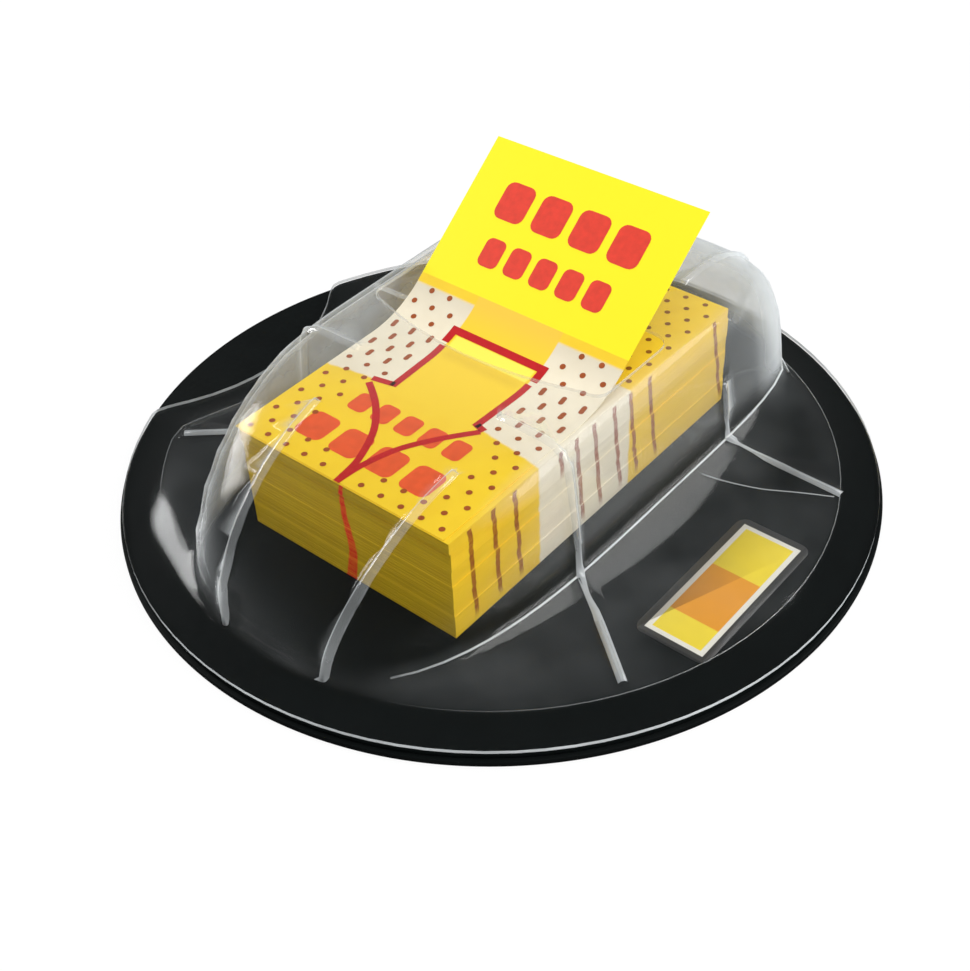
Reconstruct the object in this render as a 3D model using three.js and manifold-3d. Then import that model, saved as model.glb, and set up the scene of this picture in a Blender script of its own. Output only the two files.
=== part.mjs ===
// Index tab dispenser: a pop-up pad of film flags on a round base that grips the desk, under a clear dome.
// The top flag is pulled up through the slot of the dome. Millimetres, +Z up.
// The origin is the middle of the base's underside. The arrow ends of the flags face -Y.
import * as THREE from 'three';
import { mergeVertices } from 'three/addons/utils/BufferGeometryUtils.js';
import Module from 'manifold-3d';

const wasm = await Module();
wasm.setup();

// Base discs
const gripRadius = 38.1;
const gripThickness = 0.6;
const gripEdgeRound = 0.15;
const rimSetback = 0.4;
const plateThickness = 0.65;

// Finger notch in the left of the plate and the dome's flange
const notchRadius = 21;
const notchDepth = 8.1;
const notchAngle = THREE.MathUtils.degToRad(183);
const notchCorner = 2.4;
const skirtCorner = 5;

// Clear sheet of the dome, and its flat flange and sloping skirt
const sheetThickness = 0.35;
const flangeWidth = 3.3;
const stepHeight = 0.45;
const stepWidth = 0.5;
const skirtRise = 0.75;
const skirtHollow = 1.7;

// Canopy of the dome: its room round the pad, and the shape of its walls
const sideRoom = 5;
const endRoom = 12.7;
const topRoom = 4.25;
const wallDraft = 0.133;
const shoulderRadius = 1.8;
const crownRise = 0.4;
const frontSlope = { along: 3.7, up: 1.35 };
const rearSlope = { along: 6.5, up: 2 };
const frontCorner = { base: 2.8, top: 4.7 };
const rearCorner = 5;
const canopyRimGap = 0.3;
const limitBlend = 1.5;

// Slot in the crown
const slotHalfWidth = 14;
const slotFront = -2.2;
const slotRear = 9;
const slotLipBow = 2.3;
const slotCorner = 1.8;

// Stiffening ribs raised on the dome
const ribRadius = 0.5;
const ribSink = 0.2;
const ribSides = 5;
const endRib = { middle: 1.5, baseX: 5.6, topX: 8.2, topY: 17 };
const hingeRib = { y: -9.6, topX: 8.5, skirtX: 27.8, skirtY: -17.4 };
const backRib = { y: 14.9, topZ: 8, skirtX: 30.6, skirtY: 14.9 };

// Flags and pad
const flagWidth = 25.4;
const flagLength = 43.2;
const flagThickness = 0.0575;
const flagCount = 200;
const tierFlags = [46, 28, 36, 30, 38, 22];
const tierSlip = [[0.18, -0.12], [-0.1, 0.16], [0.14, 0.05], [-0.16, -0.1], [0.08, 0.14], [0, -0.2]];

// Flag pulled up through the slot
const raisedThickness = 0.1;
const raisedShift = -0.6;
const stuckLength = 18.6;
const liftRadius = 12;
const tabAngle = THREE.MathUtils.degToRad(37.5);

// Label on the plate, seen through the skirt
const labelWidth = 7.6;
const labelLength = 18.2;
const labelThickness = 0.08;
const labelCorner = 1;
const labelClearance = 0.3;
const labelShift = -1.9;

// Facets
const rimFacets = 96;
const cornerSpread = [-3, -1.8, -0.6, 0.6, 1.8, 3].map(THREE.MathUtils.degToRad);
const wallLevels = [0, 0.27, 0.52, 0.7, 0.84, 0.93, 1];
const shoulderLevels = [0.4, 0.75, 0.95];
const crownRings = [1, 0.66, 0.33];

const plateTop = gripThickness + plateThickness;
const unitRadius = gripRadius - rimSetback;
const padHeight = flagCount * flagThickness;
const canopyHeight = padHeight + topRoom;
const canopyHalfWidth = flagWidth / 2 + sideRoom;
const canopyReach = flagLength / 2 + endRoom;
const notchCentre = unitRadius - notchDepth + notchRadius;

// Blends two lengths into the shorter one, with a rounded corner of the given size
function softMin(a, b, blend) {
  const h = THREE.MathUtils.clamp(0.5 + 0.5 * (b - a) / blend, 0, 1);
  return THREE.MathUtils.lerp(b, a, h) - blend * h * (1 - h);
}

// Distance from the middle to the notched rim, drawn in by an inset
function rimRay(angle, inset, corner) {
  const radius = unitRadius - inset;
  const reach = notchRadius + inset;
  const turn = angle - notchAngle;
  const across = notchCentre * Math.sin(turn);
  if (Math.cos(turn) < 0 || Math.abs(across) >= reach) return radius;
  const notch = notchCentre * Math.cos(turn) - Math.sqrt(reach ** 2 - across ** 2);
  return softMin(radius, notch, corner);
}

// Angles at which every ring has its points: an even spread, and more at the notch's two corners
function rimAngles() {
  const sagitta = unitRadius ** 2 + notchCentre ** 2 - notchRadius ** 2;
  const halfNotch = Math.acos(sagitta / (2 * unitRadius * notchCentre));
  const even = Array.from({ length: rimFacets }, (_, i) => i * 2 * Math.PI / rimFacets);
  const corners = [-halfNotch, halfNotch].flatMap(
    (corner) => cornerSpread.map((spread) => notchAngle + corner + spread));
  const apart = Math.PI / rimFacets / 3;
  const kept = even.filter((angle) => corners.every((corner) => Math.abs(angle - corner) > apart));
  return [...kept, ...corners].sort((a, b) => a - b);
}

const angles = rimAngles();

function ring(radiusAt, height) {
  return angles.map((angle) => {
    const radius = radiusAt(angle);
    return [radius * Math.cos(angle), radius * Math.sin(angle), height];
  });
}

// Closed body through a stack of rings, shut by a fan at each end
function loft(rings, lowHeight, highHeight) {
  const count = angles.length;
  const positions = rings.flat(2);
  const low = rings.length * count;
  positions.push(0, 0, lowHeight, 0, 0, highHeight);
  const faces = [];
  for (let i = 0; i < count; i++) {
    const next = (i + 1) % count;
    faces.push(low, next, i);
    for (let k = 0; k + 1 < rings.length; k++) {
      const here = k * count;
      const above = here + count;
      faces.push(here + i, here + next, above + next);
      faces.push(here + i, above + next, above + i);
    }
    const top = (rings.length - 1) * count;
    faces.push(top + i, top + next, low + 1);
  }
  const geometry = new THREE.BufferGeometry();
  geometry.setAttribute('position', new THREE.Float32BufferAttribute(positions, 3));
  geometry.setIndex(faces);
  return geometry;
}

function toSolid(geometry) {
  const bare = geometry.clone();
  bare.deleteAttribute('normal');
  bare.deleteAttribute('uv');
  const merged = mergeVertices(bare, 1e-4);
  return new wasm.Manifold(new wasm.Mesh({
    numProp: 3,
    vertProperties: new Float32Array(merged.attributes.position.array),
    triVerts: new Uint32Array(merged.index.array),
  }));
}

function toGeometry(solid) {
  const mesh = solid.getMesh();
  const geometry = new THREE.BufferGeometry();
  geometry.setAttribute('position', new THREE.BufferAttribute(mesh.vertProperties, 3));
  geometry.setIndex(new THREE.BufferAttribute(mesh.triVerts, 1));
  geometry.computeVertexNormals();
  return geometry;
}

// Canopy of the dome
const stepTop = sheetThickness + stepHeight;
const canopyFoot = stepTop + skirtRise;
const crownEdge = canopyHeight - crownRise;
const shoulderFoot = crownEdge - shoulderRadius;

// Level outline of the canopy at a height above the plate: half width, reaches and corner squareness
function canopyOutline(height) {
  const share = THREE.MathUtils.clamp((height - sheetThickness) / (canopyHeight - sheetThickness), 0, 1);
  const wall = canopyHalfWidth - wallDraft * (Math.min(height, shoulderFoot) - canopyFoot);
  const over = Math.max(height - shoulderFoot, 0);
  const rounding = shoulderRadius - Math.sqrt(Math.max(shoulderRadius ** 2 - over ** 2, 0));
  return {
    halfWidth: wall - rounding,
    front: canopyReach * (1 - share ** frontSlope.up) ** (1 / frontSlope.along),
    rear: canopyReach * (1 - share ** rearSlope.up) ** (1 / rearSlope.along),
    frontSquare: THREE.MathUtils.lerp(frontCorner.base, frontCorner.top, share),
    rearSquare: rearCorner,
  };
}

function canopyRay(angle, height) {
  const outline = canopyOutline(height);
  const isFront = Math.sin(angle) < 0;
  const reach = isFront ? outline.front : outline.rear;
  const square = isFront ? outline.frontSquare : outline.rearSquare;
  const sum = Math.abs(Math.cos(angle) / outline.halfWidth) ** square
    + Math.abs(Math.sin(angle) / reach) ** square;
  const limit = rimRay(angle, flangeWidth + stepWidth + canopyRimGap, skirtCorner);
  return softMin(sum ** (-1 / square), limit, limitBlend);
}

const skirtRay = (angle) => rimRay(angle, flangeWidth + stepWidth, skirtCorner);

// Height of the skirt above the plate at a place in plan: it rises slowly, then turns up to the canopy
function skirtHeight(x, y) {
  const angle = Math.atan2(y, x);
  const outer = skirtRay(angle);
  const inner = canopyRay(angle, canopyFoot);
  const share = THREE.MathUtils.clamp((outer - Math.hypot(x, y)) / (outer - inner), 0, 1);
  return stepTop + skirtRise * share ** skirtHollow;
}

// Rings of the dome from the flange's inner edge to the crown, drawn in by an inset
function domeRings(inset) {
  const drop = (height) => inset * THREE.MathUtils.clamp(height / shoulderFoot, 0, 1);
  const canopyRing = (height) => ring((angle) => canopyRay(angle, height) - inset, height - drop(height));
  const middle = (angle) => (skirtRay(angle) + canopyRay(angle, canopyFoot)) / 2;
  const skirtMiddle = stepTop + skirtRise * 0.5 ** skirtHollow;
  const crown = crownRings.map((share) => ring(
    (angle) => (canopyRay(angle, crownEdge) - inset) * share,
    canopyHeight - crownRise * share ** 2 - inset));
  return [
    ring((angle) => skirtRay(angle) - inset, stepTop - inset),
    ring((angle) => middle(angle) - inset, skirtMiddle - inset),
    ...wallLevels.map((share) => canopyRing(THREE.MathUtils.lerp(canopyFoot, shoulderFoot, share))),
    ...shoulderLevels.map((share) => canopyRing(shoulderFoot + shoulderRadius * share)),
    ...crown,
  ];
}

function domeBody() {
  const flange = (height) => ring((angle) => rimRay(angle, 0, notchCorner), height);
  const boundary = ring((angle) => rimRay(angle, flangeWidth, skirtCorner), sheetThickness);
  return loft([flange(0), flange(sheetThickness), boundary, ...domeRings(0)], 0, canopyHeight);
}

function domeHollow() {
  const through = sheetThickness;
  const mouth = (height) => ring(
    (angle) => rimRay(angle, flangeWidth, skirtCorner) - sheetThickness, height);
  return loft([mouth(-through), mouth(0), ...domeRings(sheetThickness)],
    -through, canopyHeight - sheetThickness);
}

function slotCutter() {
  const left = -slotHalfWidth;
  const right = slotHalfWidth;
  const shape = new THREE.Shape();
  shape.moveTo(left, slotFront + slotCorner);
  shape.quadraticCurveTo(left, slotFront, left + slotCorner, slotFront);
  shape.quadraticCurveTo(0, slotFront - 2 * slotLipBow, right - slotCorner, slotFront);
  shape.quadraticCurveTo(right, slotFront, right, slotFront + slotCorner);
  shape.lineTo(right, slotRear - slotCorner);
  shape.quadraticCurveTo(right, slotRear, right - slotCorner, slotRear);
  shape.lineTo(left + slotCorner, slotRear);
  shape.quadraticCurveTo(left, slotRear, left, slotRear - slotCorner);
  const geometry = new THREE.ExtrudeGeometry(shape, {
    depth: shoulderRadius + 2 * crownRise, bevelEnabled: false, curveSegments: 8,
  });
  return geometry.translate(0, 0, shoulderFoot);
}

// Place on the canopy's end face, at a height and a distance from the middle plane, found by repeats
function endPoint(height, x, end) {
  let y = end * canopyReach;
  for (let i = 0; i < 12; i++) {
    y = end * Math.sqrt(canopyRay(Math.atan2(y, x), height) ** 2 - x ** 2);
  }
  return new THREE.Vector3(x, y, height - ribSink);
}

// Place on the canopy's side wall, at a height and a distance along the canopy
function sidePoint(height, y, side) {
  const outline = canopyOutline(height);
  const reach = y < 0 ? outline.front : outline.rear;
  const square = y < 0 ? outline.frontSquare : outline.rearSquare;
  const x = outline.halfWidth * (1 - Math.min(Math.abs(y) / reach, 1) ** square) ** (1 / square);
  return new THREE.Vector3(side * (x - ribSink), y, height);
}

function skirtPoint(x, y) {
  return new THREE.Vector3(x, y, skirtHeight(x, y) - ribSink);
}

// Height of the canopy's outer face at a place in plan, found by halving
function topHeight(x, y) {
  let low = canopyFoot;
  let high = crownEdge;
  if (canopyRay(Math.atan2(y, x), crownEdge) > Math.hypot(x, y)) {
    const share = Math.hypot(x, y) / canopyRay(Math.atan2(y, x), crownEdge);
    return canopyHeight - crownRise * share ** 2;
  }
  for (let i = 0; i < 30; i++) {
    const height = (low + high) / 2;
    if (canopyRay(Math.atan2(y, x), height) > Math.hypot(x, y)) low = height;
    else high = height;
  }
  return low;
}

// Rib up an end face of the canopy and onto its top, spreading from its fellow as it climbs
function endRibPath(end, side) {
  const points = [0.06, 0.25, 0.45, 0.63, 0.78].map((climb) => {
    const spread = THREE.MathUtils.lerp(endRib.baseX, endRib.topX, climb);
    return endPoint(climb * canopyHeight, endRib.middle + side * spread, end);
  });
  const shoulder = points.at(-1);
  for (const share of [0.35, 0.7, 1]) {
    const x = THREE.MathUtils.lerp(shoulder.x, endRib.middle + side * endRib.topX, share);
    const y = THREE.MathUtils.lerp(shoulder.y, end * endRib.topY, share);
    points.push(new THREE.Vector3(x, y, topHeight(x, y) - ribSink));
  }
  return points;
}

// Rib over the shoulder in front of the slot, down the wall and out along the skirt
function hingeRibPath(side) {
  const topX = hingeRib.topX;
  const edge = canopyOutline(crownEdge).halfWidth;
  const tops = [topX, (topX + edge) / 2, edge].map(
    (x) => new THREE.Vector3(side * x, hingeRib.y, topHeight(x, hingeRib.y) - ribSink));
  const walls = [0.9, 0.6, 0.35].map((share) => sidePoint(share * canopyHeight, hingeRib.y, side));
  const foot = sidePoint(canopyFoot, hingeRib.y, side);
  const outs = [0.5, 1].map((share) => skirtPoint(
    side * THREE.MathUtils.lerp(canopyHalfWidth, hingeRib.skirtX, share),
    THREE.MathUtils.lerp(hingeRib.y, hingeRib.skirtY, share)));
  return [...tops, ...walls, foot, ...outs];
}

// Rib behind the slot: a short run down the wall, then out along the skirt
function backRibPath(side) {
  const walls = [backRib.topZ, (backRib.topZ + canopyFoot) / 2, canopyFoot].map(
    (height) => sidePoint(height, backRib.y, side));
  const outs = [0.5, 1].map((share) => skirtPoint(
    side * THREE.MathUtils.lerp(canopyHalfWidth, backRib.skirtX, share),
    THREE.MathUtils.lerp(backRib.y, backRib.skirtY, share)));
  return [...walls, ...outs];
}

// Round bar along a path
function ribSolid(points) {
  const section = new THREE.Shape();
  section.absarc(0, 0, ribRadius, 0, 2 * Math.PI);
  const bar = new THREE.ExtrudeGeometry(section, {
    steps: 3 * (points.length - 1),
    bevelEnabled: false,
    curveSegments: ribSides,
    extrudePath: new THREE.CatmullRomCurve3(points),
  });
  return toSolid(bar);
}

function domeGeometry() {
  let solid = toSolid(domeBody());
  for (const side of [-1, 1]) {
    solid = solid.add(ribSolid(endRibPath(-1, side)));
    solid = solid.add(ribSolid(endRibPath(1, side)));
    solid = solid.add(ribSolid(hingeRibPath(side)));
    solid = solid.add(ribSolid(backRibPath(side)));
  }
  return toGeometry(solid.subtract(toSolid(domeHollow())).subtract(toSolid(slotCutter())));
}

function gripGeometry() {
  const edge = gripRadius - gripEdgeRound;
  const profile = [
    [0, 0], [edge, 0], [gripRadius, gripEdgeRound],
    [gripRadius, gripThickness - gripEdgeRound], [edge, gripThickness], [0, gripThickness],
  ].map(([x, y]) => new THREE.Vector2(x, y));
  return new THREE.LatheGeometry(profile, rimFacets).rotateX(Math.PI / 2);
}

function plateGeometry() {
  const outline = (height) => ring((angle) => rimRay(angle, 0, notchCorner), height);
  return loft([outline(0), outline(plateThickness)], 0, plateThickness);
}

// Pad: tiers of flags, each slipped a little against the next, fused into one block
function padGeometry() {
  let solid = null;
  let base = 0;
  tierFlags.forEach((flags, i) => {
    const height = flags * flagThickness;
    const [slipX, slipY] = tierSlip[i];
    const tier = new THREE.BoxGeometry(flagWidth, flagLength, height);
    tier.translate(slipX, slipY, base + height / 2);
    solid = solid ? solid.add(toSolid(tier)) : toSolid(tier);
    base += height;
  });
  return toGeometry(solid);
}

// Raised flag, drawn from the side: flat on the pad, bent up by an arc, then straight out to its end
function raisedFlagGeometry() {
  const front = -flagLength / 2;
  const bend = front + stuckLength;
  const middle = liftRadius + raisedThickness / 2;
  const inner = liftRadius - raisedThickness / 2;
  const outer = liftRadius + raisedThickness / 2;
  const free = flagLength - stuckLength - liftRadius * tabAngle;
  const dy = free * Math.cos(tabAngle);
  const dz = free * Math.sin(tabAngle);
  const start = -Math.PI / 2;
  const end = start + tabAngle;
  const shape = new THREE.Shape();
  shape.moveTo(front, 0);
  shape.absarc(bend, middle, outer, start, end, false);
  shape.lineTo(bend + outer * Math.cos(end) + dy, middle + outer * Math.sin(end) + dz);
  shape.lineTo(bend + inner * Math.cos(end) + dy, middle + inner * Math.sin(end) + dz);
  shape.absarc(bend, middle, inner, end, start, true);
  shape.lineTo(front, raisedThickness);
  const geometry = new THREE.ExtrudeGeometry(shape, {
    depth: flagWidth, bevelEnabled: false, curveSegments: 14,
  });
  const sideways = new THREE.Matrix4().set(0, 0, 1, 0, 1, 0, 0, 0, 0, 1, 0, 0, 0, 0, 0, 1);
  return geometry.applyMatrix4(sideways).translate(-flagWidth / 2, 0, 0);
}

function labelGeometry() {
  const x = labelWidth / 2;
  const y = labelLength / 2;
  const shape = new THREE.Shape();
  shape.absarc(x - labelCorner, y - labelCorner, labelCorner, 0, Math.PI / 2);
  shape.absarc(labelCorner - x, y - labelCorner, labelCorner, Math.PI / 2, Math.PI);
  shape.absarc(labelCorner - x, labelCorner - y, labelCorner, Math.PI, 1.5 * Math.PI);
  shape.absarc(x - labelCorner, labelCorner - y, labelCorner, 1.5 * Math.PI, 2 * Math.PI);
  return new THREE.ExtrudeGeometry(shape, { depth: labelThickness, bevelEnabled: false, curveSegments: 4 });
}

function piece(name, geometry, look, position) {
  const mesh = new THREE.Mesh(geometry, new THREE.MeshStandardMaterial(look));
  mesh.name = name;
  mesh.position.set(...position);
  return mesh;
}

const dispenser = new THREE.Group();
dispenser.name = 'index_tab_dispenser';

const base = new THREE.Group();
base.add(piece('grip_pad', gripGeometry(),
  { color: 0x141818, roughness: 0.75, metalness: 0 }, [0, 0, 0]));
base.add(piece('base_plate', plateGeometry(),
  { color: 0x0e1414, roughness: 0.35, metalness: 0 }, [0, 0, gripThickness]));
dispenser.add(base);

const labelOuter = unitRadius - flangeWidth - sheetThickness - labelClearance;
const labelEnd = labelLength / 2 + Math.abs(labelShift);
const labelX = Math.sqrt(labelOuter ** 2 - labelEnd ** 2) - labelWidth / 2;
const cartridge = new THREE.Group();
cartridge.position.z = plateTop;
cartridge.add(piece('base_label', labelGeometry(),
  { color: 0xf0a820, roughness: 0.4, metalness: 0 }, [labelX, labelShift, 0]));
cartridge.add(piece('flag_pad', padGeometry(),
  { color: 0xf4d22e, roughness: 0.55, metalness: 0 }, [0, 0, 0]));
cartridge.add(piece('raised_flag', raisedFlagGeometry(),
  { color: 0xfdf03a, roughness: 0.4, metalness: 0 }, [raisedShift, 0, padHeight]));
cartridge.add(piece('clear_dome', domeGeometry(),
  { color: 0xe8eef0, roughness: 0.1, metalness: 0, transparent: true, opacity: 0.3 }, [0, 0, 0]));
dispenser.add(cartridge);

export default dispenser;
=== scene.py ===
import math
import random

import bmesh
import bpy
from bpy.props import FloatProperty, FloatVectorProperty, IntProperty, PointerProperty
from mathutils import Matrix, Vector


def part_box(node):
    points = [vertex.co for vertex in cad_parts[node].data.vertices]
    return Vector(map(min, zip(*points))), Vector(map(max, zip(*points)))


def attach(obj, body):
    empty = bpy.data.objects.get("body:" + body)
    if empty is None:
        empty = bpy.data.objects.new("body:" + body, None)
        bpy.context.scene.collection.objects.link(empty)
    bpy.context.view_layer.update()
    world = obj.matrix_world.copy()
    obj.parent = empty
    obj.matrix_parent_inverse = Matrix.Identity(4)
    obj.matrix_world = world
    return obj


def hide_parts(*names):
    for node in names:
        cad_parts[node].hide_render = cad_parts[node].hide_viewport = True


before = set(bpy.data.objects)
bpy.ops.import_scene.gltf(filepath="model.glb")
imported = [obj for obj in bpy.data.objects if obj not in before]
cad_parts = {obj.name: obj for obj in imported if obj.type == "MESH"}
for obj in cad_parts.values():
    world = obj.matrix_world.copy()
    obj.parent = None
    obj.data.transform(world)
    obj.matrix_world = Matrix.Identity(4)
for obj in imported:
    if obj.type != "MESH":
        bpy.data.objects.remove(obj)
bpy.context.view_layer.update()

bl_info = {
    "name": "Index Tab Dispenser",
    "version": (1, 0, 0),
    "blender": (4, 5, 0),
    "location": "View3D > Sidebar > Tabs",
    "description": "Builds a pop-up pad of film index tabs under a clear formed dome",
    "category": "Object",
}

MM = 0.001
PAD_LOW, PAD_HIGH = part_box("flag_pad")
FLAG_LOW, FLAG_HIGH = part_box("raised_flag")
LABEL_LOW, LABEL_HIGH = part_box("base_label")
GRIP_LOW, GRIP_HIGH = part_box("grip_pad")


def from_screen(red, green, blue):
    """A colour as a screen shows it, 0 to 255, as the shader takes it."""
    return tuple(
        (c / 255 / 12.92) if c <= 10 else ((c / 255 + 0.055) / 1.055) ** 2.4
        for c in (red, green, blue))


# Lengths from here on are in millimetres, and become metres where they are used with MM.

PLATE_TOP = 1.25
CROWN = 17.0
PAD_TOP = 12.75
PAD_HEIGHT = 11.5
FLAG_LENGTH = 43.2
HALF_LENGTH = 21.6
FLAG_THICK = 0.1

# The pad's tiers: the film that each one ends below, and how far it lies off in x and y.
TIERS = ((46, (0.04, 0.02)), (74, (-0.03, 0.04)), (110, (0.03, 0.0)),
         (140, (-0.04, 0.03)), (178, (0.02, 0.05)))
TOP_SLIP = (0, -0.1)
FILM_SLIP = 0.015

# Lines down the pad's long sides: y at the top edge, half width, and how deep they reach.
SIDE_LINES = (-19.0, -15.8, -12.9, -6.3, -3.9, -1.2, 1.9, 4.5, 7.6, 18.9)
SIDE_LINE_HALF = 0.29
SHORT_LINE = -6.3
SHORT_REACH, REACH = 3.0, 10.6

# The arrow outline on the raised flag: points (across, along), stroke width and lift.
OUTLINE = (
    ([(-5.5, 23.4), (-5.5, 21.4)], 0.85, 0.02),
    ([(-5.35, 20.9), (-5.1, 13.2)], 0.75, 0.02),
    ([(5.5, 23.4), (5.5, 21.4)], 0.85, 0.02),
    ([(5.35, 20.9), (5.1, 13.2)], 0.75, 0.02),
    ([(-5.9, 23.05), (5.9, 23.05)], 0.85, 0.03),
    ([(-5.1, 13.5), (-7.5, 13.0)], 0.7, 0.02),
    ([(5.1, 13.5), (6.2, 13.2)], 0.7, 0.02),
)
ARROW_LEFT = [(-7.3, 12.3), (-4.5, 10.2), (-1.95, 7.2), (-0.3, 3.5), (0.15, 0.9), (0.25, -0.05)]
ARROW_RIGHT = [(6.0, 12.9), (3.8, 10.1), (1.75, 6.8), (0.65, 3.4), (0.3, 0.9), (0.25, -0.05)]
ARROW_WIDTH = 0.7

# Rows of blocks: count, first x, step, y, width, height and corner radius of a block.
TAB_ROWS = ((4, -6.9, 4.6, 37.3, 3.6, 4.1, 0.9), (5, -6.4, 3.2, 31.7, 2.4, 3.1, 0.7))
UNDER_ROWS = ((4, -6.6, 4.3, 4.6, 3.3, 3.6, 0.8), (5, -5.6, 2.9, 9.6, 2.1, 2.7, 0.6))

INK_LIFT = 0.02
UNDER_LIFT = 0.01
ARROW_LIFT = 0.03
DOT_SIDES = 12
DOT_ROWS = 26
FIRST_ROW = 0.95
ROW_STEP = 1.66
COLUMN_STEP = 2.34

# The dome's ribs: the end ribs spread from foot to crown about RIB_MIDDLE, and the others run
# up the long sides. A flare on the skirt goes from a side rib's foot out to x, y.
RIB_MIDDLE = 1.5
RIB_FOOT, RIB_SPREAD = 5.6, 2.6
FRONT_RIB, BACK_RIB = -9.6, 14.9
FLARE_FOOT = 17.4
FLARES = ((27.8, -17.4, FRONT_RIB), (30.6, BACK_RIB, BACK_RIB))
GUSSET = [(18.6, 8.7), (21.1, 9.4), (24.1, 10.7), (27.3, 12.6), (30.2, 14.2)]
SHORTEST_FOLD = 4

# Lamps: name, place, target, size in metres, power, and whether gloss shows it.
LAMPS = (
    ("right", (0.40, 0.26, 0.30), (0, 0, 0.01), (0.46, 0.34), 2.1, True),
    ("top", (0.14, -0.08, 0.52), (0, 0, 0.01), (0.40, 0.40), 1.4, False),
    ("left", (-0.40, -0.09, 0.16), (0, 0, 0.005), (0.22, 0.15), 1.0, True),
)
AMBIENT = 0.42
AMBIENT_IN_GLOSS = 0.22

# The camera: degrees round the object, up from the desk and about its own axis.
CAMERA_TURN, CAMERA_RISE, CAMERA_ROLL = 41.319, 41.227, -2.745
CAMERA_TARGET = (0.743, -3.111, 0)
SENSOR = 36
FOCAL_PIXELS = 1450
FRAME_PIXELS = 971

YELLOW_STAIN = from_screen(240, 196, 34)
YELLOW_EDGE = from_screen(214, 170, 12)
YELLOW_INSIDE = from_screen(247, 205, 66)
# Painted shade on the flag, in the band under the slot's front edge.
YELLOW_SLOT_SHADE = from_screen(214, 172, 30)
CREAM_STAIN = from_screen(226, 214, 186)
CREAM_EDGE = from_screen(205, 196, 168)
CREAM_SHADE = from_screen(196, 188, 170)
# Multiplies the pad's front face: partly the films' own olive edges, partly painted shade.
FRONT_PAINTED_SHADE = from_screen(200, 200, 40)
SIDE_INK = from_screen(146, 62, 8)
FRONT_INK = from_screen(232, 8, 16)
UNDER_INK = from_screen(236, 92, 44)
PAD_DOT_INK = from_screen(150, 96, 22)
LABEL_YELLOW = from_screen(247, 222, 58)
LABEL_ORANGE = from_screen(238, 160, 36)
LABEL_WHITE = from_screen(238, 236, 226)
LABEL_DARK = from_screen(52, 55, 58)
LABEL_DIRT = from_screen(120, 100, 60)


def length(name, text, value):
    return FloatProperty(
        name=name, description=text, default=value, min=0, unit="LENGTH", precision=5)


def angle(name, text, degrees):
    return FloatProperty(
        name=name, description=text, default=math.radians(degrees), subtype="ANGLE")


def colour(name, text, value):
    return FloatVectorProperty(
        name=name, description=text, default=value, size=3, min=0, max=1, subtype="COLOR")


class BaseSizes(bpy.types.PropertyGroup):
    edge_round: length("Edge round", "Rounding of the discs' edges", 0.12 * MM)
    black: colour("Plate", "Colour of the plate", from_screen(10, 15, 15))
    rubber: colour("Grip sheet", "Colour of the sheet under the plate", from_screen(11, 15, 15))


class FlagSizes(bpy.types.PropertyGroup):
    width: length("Width", "Width of a flag", 25.4 * MM)
    stuck: length("Stuck length", "How much of the raised flag lies flat", 18.6 * MM)
    bend: length("Bend radius", "Radius of the raised flag's bend", 12 * MM)
    lean: angle("Lean", "Slope of the raised tab", 37.5)
    films: IntProperty(name="Films", description="Films in the pad", default=200, min=20)
    bright: colour("Tab", "Colour of the tab's bright end", from_screen(255, 240, 28))
    yellow: colour("Yellow", "Colour of the yellow ends", from_screen(249, 212, 45))
    cream: colour("Cream", "Colour of the middle", from_screen(240, 231, 208))
    pale: colour("Pale band", "Colour of the band by the closing line", from_screen(255, 238, 92))
    ink: colour("Ink", "Red ink of the blocks", from_screen(232, 66, 48))
    dark_ink: colour("Outline", "Dark red ink of the arrow", from_screen(196, 24, 32))
    dots: colour("Dots", "Brown ink of the dots", from_screen(166, 82, 34))


class DomeSizes(bpy.types.PropertyGroup):
    # Colour of the milk that carries the sheet's faint haze and its painted reflection, highlight
    # and sheen.
    haze_and_sheen: colour("Haze", "Colour of the sheet's faint haze", (0.90, 0.95, 0.97))
    smooth: angle("Smoothing", "Corners flatter than this are shaded round", 32)


class StageSizes(bpy.types.PropertyGroup):
    floor: length("Floor", "Side of the floor", 3.0)
    far: length(
        "Camera distance", "From the camera to the point that it looks at", 145.885 * MM)
    lens: FloatProperty(
        name="Lens", description="Focal length",
        default=FOCAL_PIXELS * SENSOR / FRAME_PIXELS, unit="CAMERA")


def deselect():
    for obj in bpy.context.selected_objects:
        obj.select_set(False)


def make_active(obj):
    deselect()
    obj.select_set(True)
    bpy.context.view_layer.objects.active = obj


def link(obj):
    bpy.context.scene.collection.objects.link(obj)
    return obj


def apply_modifiers(obj):
    make_active(obj)
    for modifier in list(obj.modifiers):
        bpy.ops.object.modifier_apply(modifier=modifier.name)


def settle(obj):
    """The object's place goes into its mesh."""
    make_active(obj)
    bpy.ops.object.transform_apply(location=True, rotation=True, scale=True)


def keep(obj, name, slot, finish, *nodes):
    """Names a finished piece, gives it its material and ties it to the frame."""
    obj.name = name
    obj.data.name = name
    obj.data.materials.clear()
    obj.data.materials.append(finish)
    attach(obj, "root")
    if nodes:
        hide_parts(*nodes)
    return obj


def copy_of(node):
    """A merged copy of a node's mesh."""
    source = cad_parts[node]
    obj = link(bpy.data.objects.new(node + "_copy", source.data.copy()))
    obj.matrix_world = source.matrix_world
    settle(obj)
    bpy.ops.object.mode_set(mode="EDIT")
    bpy.ops.mesh.select_all(action="SELECT")
    bpy.ops.mesh.remove_doubles(threshold=2e-6)
    bpy.ops.object.mode_set(mode="OBJECT")
    return obj


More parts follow.
